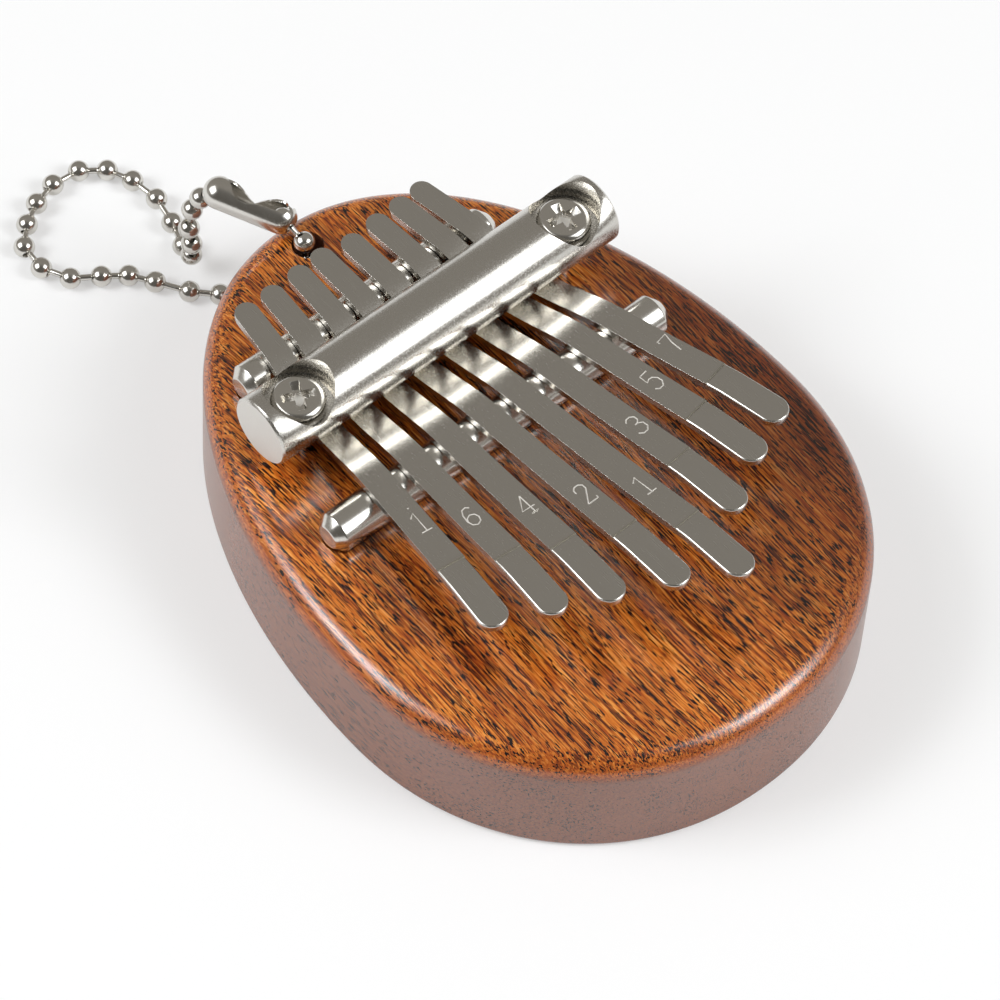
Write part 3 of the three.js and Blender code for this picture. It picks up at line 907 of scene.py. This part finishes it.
def tine_line(tail_share, reach_share, rise, stretch):
    """The strip's middle line in side view: distances forward of the rear bridge, and heights.

    It runs over the rear bridge, under the bar and over the front bridge, then rises in a slight
    arch to the bend at the pad. The tail's and the tip's distances follow.
    """
    over = bridge_top_z + seat_gap + tine_thickness / 2
    under = bar_z - bar_diameter / 2 - seat_gap - tine_thickness / 2
    tail = tine_tail * tail_share
    bar_at = rear_bridge_span * stretch
    bridge_at = bar_at + front_bridge_span * stretch
    tip_at = bridge_at + tine_reach * reach_share * stretch
    bend_at = tip_at - pad_length
    bend_z = over + rise * (bend_at - bridge_at)
    lift_off = rise * tine_lift_off_share
    steps = [i / line_steps for i in range(1, line_steps + 1)]
    line = [(-tail - overrun, over + (tail + overrun) * tine_tail_rise), (0, over)]
    third = bar_at / 3
    for t in steps:
        y = bezier(0, third, bar_at - third, bar_at, t)
        line.append((y, bezier(over, over - third * tine_tail_rise, under, under, t)))
    third = (bridge_at - bar_at) / 3
    for t in steps:
        y = bezier(bar_at, bar_at + third, bridge_at - third, bridge_at, t)
        line.append((y, bezier(under, under, over - third * lift_off, over, t)))
    leave_at = bend_at - pad_bend / 2
    leave_z = bend_z - (rise + rise - lift_off) * (pad_bend / 2)
    middle = (leave_at - bridge_at) / 2
    # The last row but one sets off the line of painted crease shade.
    for t in [*steps[:-1], 1 - crease_shade_width / (2 * middle), 1]:
        y = arch(bridge_at, bridge_at + middle, leave_at, t)
        line.append((y, arch(over, over + middle * lift_off, leave_z, t)))
    end_z = bend_z + pad_bend * pad_rise
    for t in steps:
        line.append((leave_at + t * pad_bend, arch(leave_z, bend_z, end_z, t)))
    line.append((tip_at + overrun, bend_z + (pad_length + overrun) * pad_rise))
    return np.array(line), tail, tip_at


# Painted shade: a dull grey line across each strip, where it bends up to the thumb pad, stands in
# for the shade of the crease.
crease_shade_material, tree, shader = new_material("painted_crease_shade")
shader.inputs["Base Color"].default_value = linear("bcb8ae")
shader.inputs["Metallic"].default_value = 1
where = add_node(tree, "ShaderNodeTexCoord").outputs["Object"]
rub = add_node(tree, "ShaderNodeTexNoise", {"Vector": where}, {"Scale": 4000, "Detail": 2})
rub_range = {"To Min": 0.25, "To Max": 0.4}
spread = add_node(tree, "ShaderNodeMapRange", {"Value": rub}, rub_range)
tree.links.new(spread.outputs[0], shader.inputs["Roughness"])

# The stamped numbers as pen strokes in a box one high, with the top towards the bar. The high 1
# has a dot above it.
strokes = {
    "1": [[(-0.2, 0.8), (0.03, 1), (0.03, 0)], [(-0.2, 0), (0.26, 0)]],
    "2": [
        [(-0.24, 0.7), (-0.22, 0.88), (-0.1, 0.99), (0.1, 0.99)]
        + [(0.22, 0.88), (0.22, 0.68), (-0.24, 0)],
        [(-0.24, 0), (0.26, 0), (0.27, 0.12)],
    ],
    "3": [
        [(-0.24, 0.84), (-0.12, 0.98), (0.08, 0.98), (0.21, 0.86)]
        + [(0.21, 0.68), (0.08, 0.55), (-0.06, 0.54)],
        [(0.08, 0.55), (0.25, 0.42), (0.26, 0.18), (0.1, 0.01), (-0.12, 0.01), (-0.26, 0.16)],
    ],
    "4": [[(0.12, 0), (0.12, 1)], [(0.12, 1), (-0.28, 0.3), (0.3, 0.3)], [(-0.02, 0), (0.26, 0)]],
    "5": [
        [(0.22, 0.99), (-0.18, 0.99), (-0.22, 0.56), (-0.06, 0.64), (0.1, 0.61), (0.24, 0.44)],
        [(0.24, 0.44), (0.24, 0.2), (0.08, 0.01), (-0.12, 0.01), (-0.26, 0.14)],
    ],
    "6": [
        [(0.22, 0.88), (0.08, 0.99), (-0.1, 0.94), (-0.22, 0.7), (-0.26, 0.35)]
        + [(-0.18, 0.1), (0, 0)],
        [(0, 0), (0.18, 0.1), (0.25, 0.3), (0.18, 0.5), (0, 0.58), (-0.18, 0.48), (-0.24, 0.32)],
    ],
    "7": [[(-0.25, 0.86), (-0.25, 0.99), (0.25, 0.99), (0.08, 0.55), (-0.02, 0)]],
    "high_1": [
        [(-0.2, 0.8), (0.03, 1), (0.03, 0)],
        [(-0.2, 0), (0.26, 0)],
        [(-0.02, 1.3), (0.06, 1.3)],
    ],
}
stroke_width = 0.18 * MM
stroke_lift = 0.03 * MM
number_height = 2.7 * MM
# The faces of a groove lie this near its number's middle, and this far below the strip's surface.
number_half_width = 0.4 * number_height
number_half_height = 0.9 * number_height
groove_shallowest = 0.008 * MM
groove_deepest = 0.2 * MM
# Where the middle of each number lies on the board, in mm.
number_places = {
    "high_1": (-16.14, -1.95),
    "6": (-11.87, -5.06),
    "4": (-6.75, -7.66),
    "2": (-1.13, -10.55),
    "1": (3.89, -13.85),
    "3": (8.9, -7.37),
    "5": (14.16, -3.88),
    "7": (18.85, -1.57),
}


def pen_stroke(points, frame_of_number):
    """A round bar along one stroke of a number, as a cutter."""
    data = bpy.data.curves.new("stroke", "CURVE")
    data.dimensions = "3D"
    data.bevel_depth = stroke_width / 2
    data.bevel_resolution = 2
    data.use_fill_caps = True
    path = data.splines.new("POLY")
    path.points.add(len(points) - 1)
    for point, (x, y) in zip(path.points, points):
        point.co = (x * number_height, (y - 0.5) * number_height, stroke_lift, 1)
    stroke = bpy.data.objects.new("stroke", data)
    bpy.context.scene.collection.objects.link(stroke)
    take(stroke)
    bpy.ops.object.convert(target="MESH")
    stroke = bpy.context.object
    stroke.matrix_world = frame_of_number
    return settle(stroke)


def strip_plan(tail, tip_at):
    """The upright prism of a strip's outline: straight tapered sides and two round ends."""
    deselect()
    bpy.ops.mesh.primitive_circle_add(vertices=2 * plan_steps, radius=1, fill_type="NGON")
    plan = named("plan")
    ends = [(tine_back_width / 2, tail), (tine_tip_width / 2, -tip_at)]
    for i, vertex in enumerate(plan.data.vertices):
        half, end = ends[i // plan_steps]
        turn = math.pi * (i // plan_steps + (i % plan_steps) / (plan_steps - 1))
        middle = end - math.copysign(half, end)
        vertex.co = (half * math.cos(turn), middle + half * math.sin(turn), board_thickness)
    draw_up(plan, 2 * bar_diameter)
    return plan


def on_pad_top(pad_start):
    """A test that picks the top edges of a thumb pad, where the strip was buffed."""

    def picks(edge):
        on_pad = max(vertex.co.y for vertex in edge.verts) < pad_start
        sharp = len(edge.link_faces) == 2 and edge.calc_face_angle(0) > math.radians(60)
        top = sharp and max(face.normal.z for face in edge.link_faces) > 0.9
        return on_pad and top

    return picks


for name, place_share, fan, tail_share, reach_share, rise in tines:
    angle = math.atan(fan)
    line, tail, tip_at = tine_line(tail_share, reach_share, rise, 1 / math.cos(angle))
    pad_start = pad_length - tip_at + pad_bend / 2
    deselect()
    rows = len(line) - 1
    bpy.ops.mesh.primitive_grid_add(x_subdivisions=1, y_subdivisions=rows, size=2)
    tine = named(f"strip_{name}")
    for vertex in tine.data.vertices:
        at, height = line[round((1 - vertex.co.y) / 2 * rows)]
        vertex.co = (vertex.co.x * tine_tip_width, -at, height)
    modify(tine, "SOLIDIFY", thickness=tine_thickness, offset=0, use_even_offset=True)
    cut(tine, [strip_plan(tail, tip_at)], "INTERSECT")
    round_edges(tine, on_pad_top(pad_start), pad_edge_radius, pad_edge_segments)
    ease_edges(tine, tine_edge_radius, 3, sharper_than=60)
    fanned = Matrix.Rotation(-angle, 4, "Z")
    place = Matrix.Translation((tine_pitch * place_share, rear_bridge_y, 0)) @ fanned
    number_x, number_y = number_places[name]
    local = place.inverted() @ Vector((number_x * MM, number_y * MM, 0))
    height, ahead = np.interp([-local.y, -local.y + MM], line[:, 0], line[:, 1])
    slope = math.atan((ahead - height) / MM)
    surface_z = height + tine_thickness / 2 / math.cos(slope)
    on_strip = Matrix.Translation((local.x, local.y, surface_z)) @ Matrix.Rotation(-slope, 4, "X")
    cut(tine, [pen_stroke(points, on_strip) for points in strokes[name]])
    tine.matrix_world = place
    settle(tine)
    smooth(tine, 40)
    dress(tine, tine_steel, "tine_steel", f"tine_{name}_tail", f"tine_{name}_tongue", body=None)
    tine.data.materials.append(struck_steel)
    tine.data.materials.append(crease_shade_material)
    # The faces along the bend up to the pad take the painted crease shade.
    crease_shade_y = pad_start + crease_shade_width / 2
    back_to_strip = place.inverted()
    back_to_number = (place @ on_strip).inverted()
    for face in tine.data.polygons:
        seen = back_to_number @ face.center
        in_number = abs(seen.x) < number_half_width and abs(seen.y) < number_half_height
        if in_number and groove_shallowest < -seen.z < groove_deepest:
            face.material_index = 1
        on_crease_shade = abs((back_to_strip @ face.center).y - crease_shade_y) < crease_shade_width * 0.6
        if on_crease_shade and face.normal.z > 0.5:
            face.material_index = 2
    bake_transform(tine)


# Floor and light. A white sweep, a hair below the board, under two large softboxes, each with a
# brighter middle, in a dim, slightly warm room, which is darker behind the camera.
floor_width = 6
floor_drop = 0.05 * MM
left_side = (-0.62, 0.38, 0.68)
right_side = (0.39, -0.62, 0.68)
# Each lamp's direction from the object, distance, width and height in metres, and brightness.
softboxes = {
    "left_softbox": (left_side, 1, (0.76, 0.7), 1.7),
    "left_hot_centre": (left_side, 0.98, (0.34, 0.32), 7),
    "right_softbox": (right_side, 1, (0.66, 0.74), 1.7),
    "right_hot_centre": (right_side, 0.98, (0.32, 0.34), 7),
}

# White paper that shines a little of its own for the camera, and less in what mirrors it.
floor_material, tree, shader = new_material("white_paper")
shader.inputs["Base Color"].default_value = (0.96, 0.96, 0.96, 1)
shader.inputs["Roughness"].default_value = 0.9
shader.inputs["Specular IOR Level"].default_value = 0
glow = add_node(tree, "ShaderNodeEmission", None, {"Strength": 1})
rays = add_node(tree, "ShaderNodeLightPath")
mirrored = add_node(
    tree, "ShaderNodeMapRange", {"Value": rays.outputs["Is Glossy Ray"]}, {"To Max": 0.12}
)
seen = add_node(
    tree, "ShaderNodeMapRange", {"Value": rays.outputs["Is Camera Ray"]}, {"To Max": 0.4}
)
glow_share = add_node(tree, "ShaderNodeMath", {0: mirrored, 1: seen}, operation="ADD")
blended = add_node(tree, "ShaderNodeMixShader", {0: glow_share, 1: shader, 2: glow})
tree.links.new(blended.outputs[0], tree.nodes["Material Output"].inputs["Surface"])
deselect()
bpy.ops.mesh.primitive_plane_add(size=floor_width, location=(0, 0, -floor_drop))
floor = named("floor")
floor.data.materials.append(floor_material)

world = bpy.data.worlds.new("studio")
bpy.context.scene.world = world
world.use_nodes = True
tree = world.node_tree
background = tree.nodes["Background"]
background.inputs["Color"].default_value = (1, 0.94, 0.85, 1)
facing = add_node(tree, "ShaderNodeTexCoord").outputs["Generated"]
behind_camera = add_node(
    tree, "ShaderNodeVectorMath", {0: facing}, {1: (-0.62, -0.62, 0.48)}, operation="DOT_PRODUCT"
)
dark_range = {"From Min": 0.3, "From Max": 0.9, "To Min": 0.29, "To Max": 0.12}
room = add_node(
    tree,
    "ShaderNodeMapRange",
    {"Value": behind_camera.outputs["Value"]},
    dark_range,
    interpolation_type="SMOOTHSTEP",
)
tree.links.new(room.outputs[0], background.inputs["Strength"])

# An area lamp is as bright as a quarter of its power for each square metre.
for name, (direction, distance, size, brightness) in softboxes.items():
    lamp = bpy.data.lights.new(name, "AREA")
    lamp.shape = "RECTANGLE"
    lamp.size, lamp.size_y = size
    lamp.energy = 4 * brightness * size[0] * size[1]
    lamp.color = (0.95, 0.975, 1)
    holder = bpy.data.objects.new(name, lamp)
    bpy.context.scene.collection.objects.link(holder)
    place = Vector(direction).normalized() * distance
    turn = (-place).to_track_quat("-Z", "Y").to_matrix().to_4x4()
    holder.matrix_world = Matrix.Translation(place) @ turn

bpy.context.scene.view_settings.view_transform = "Standard"
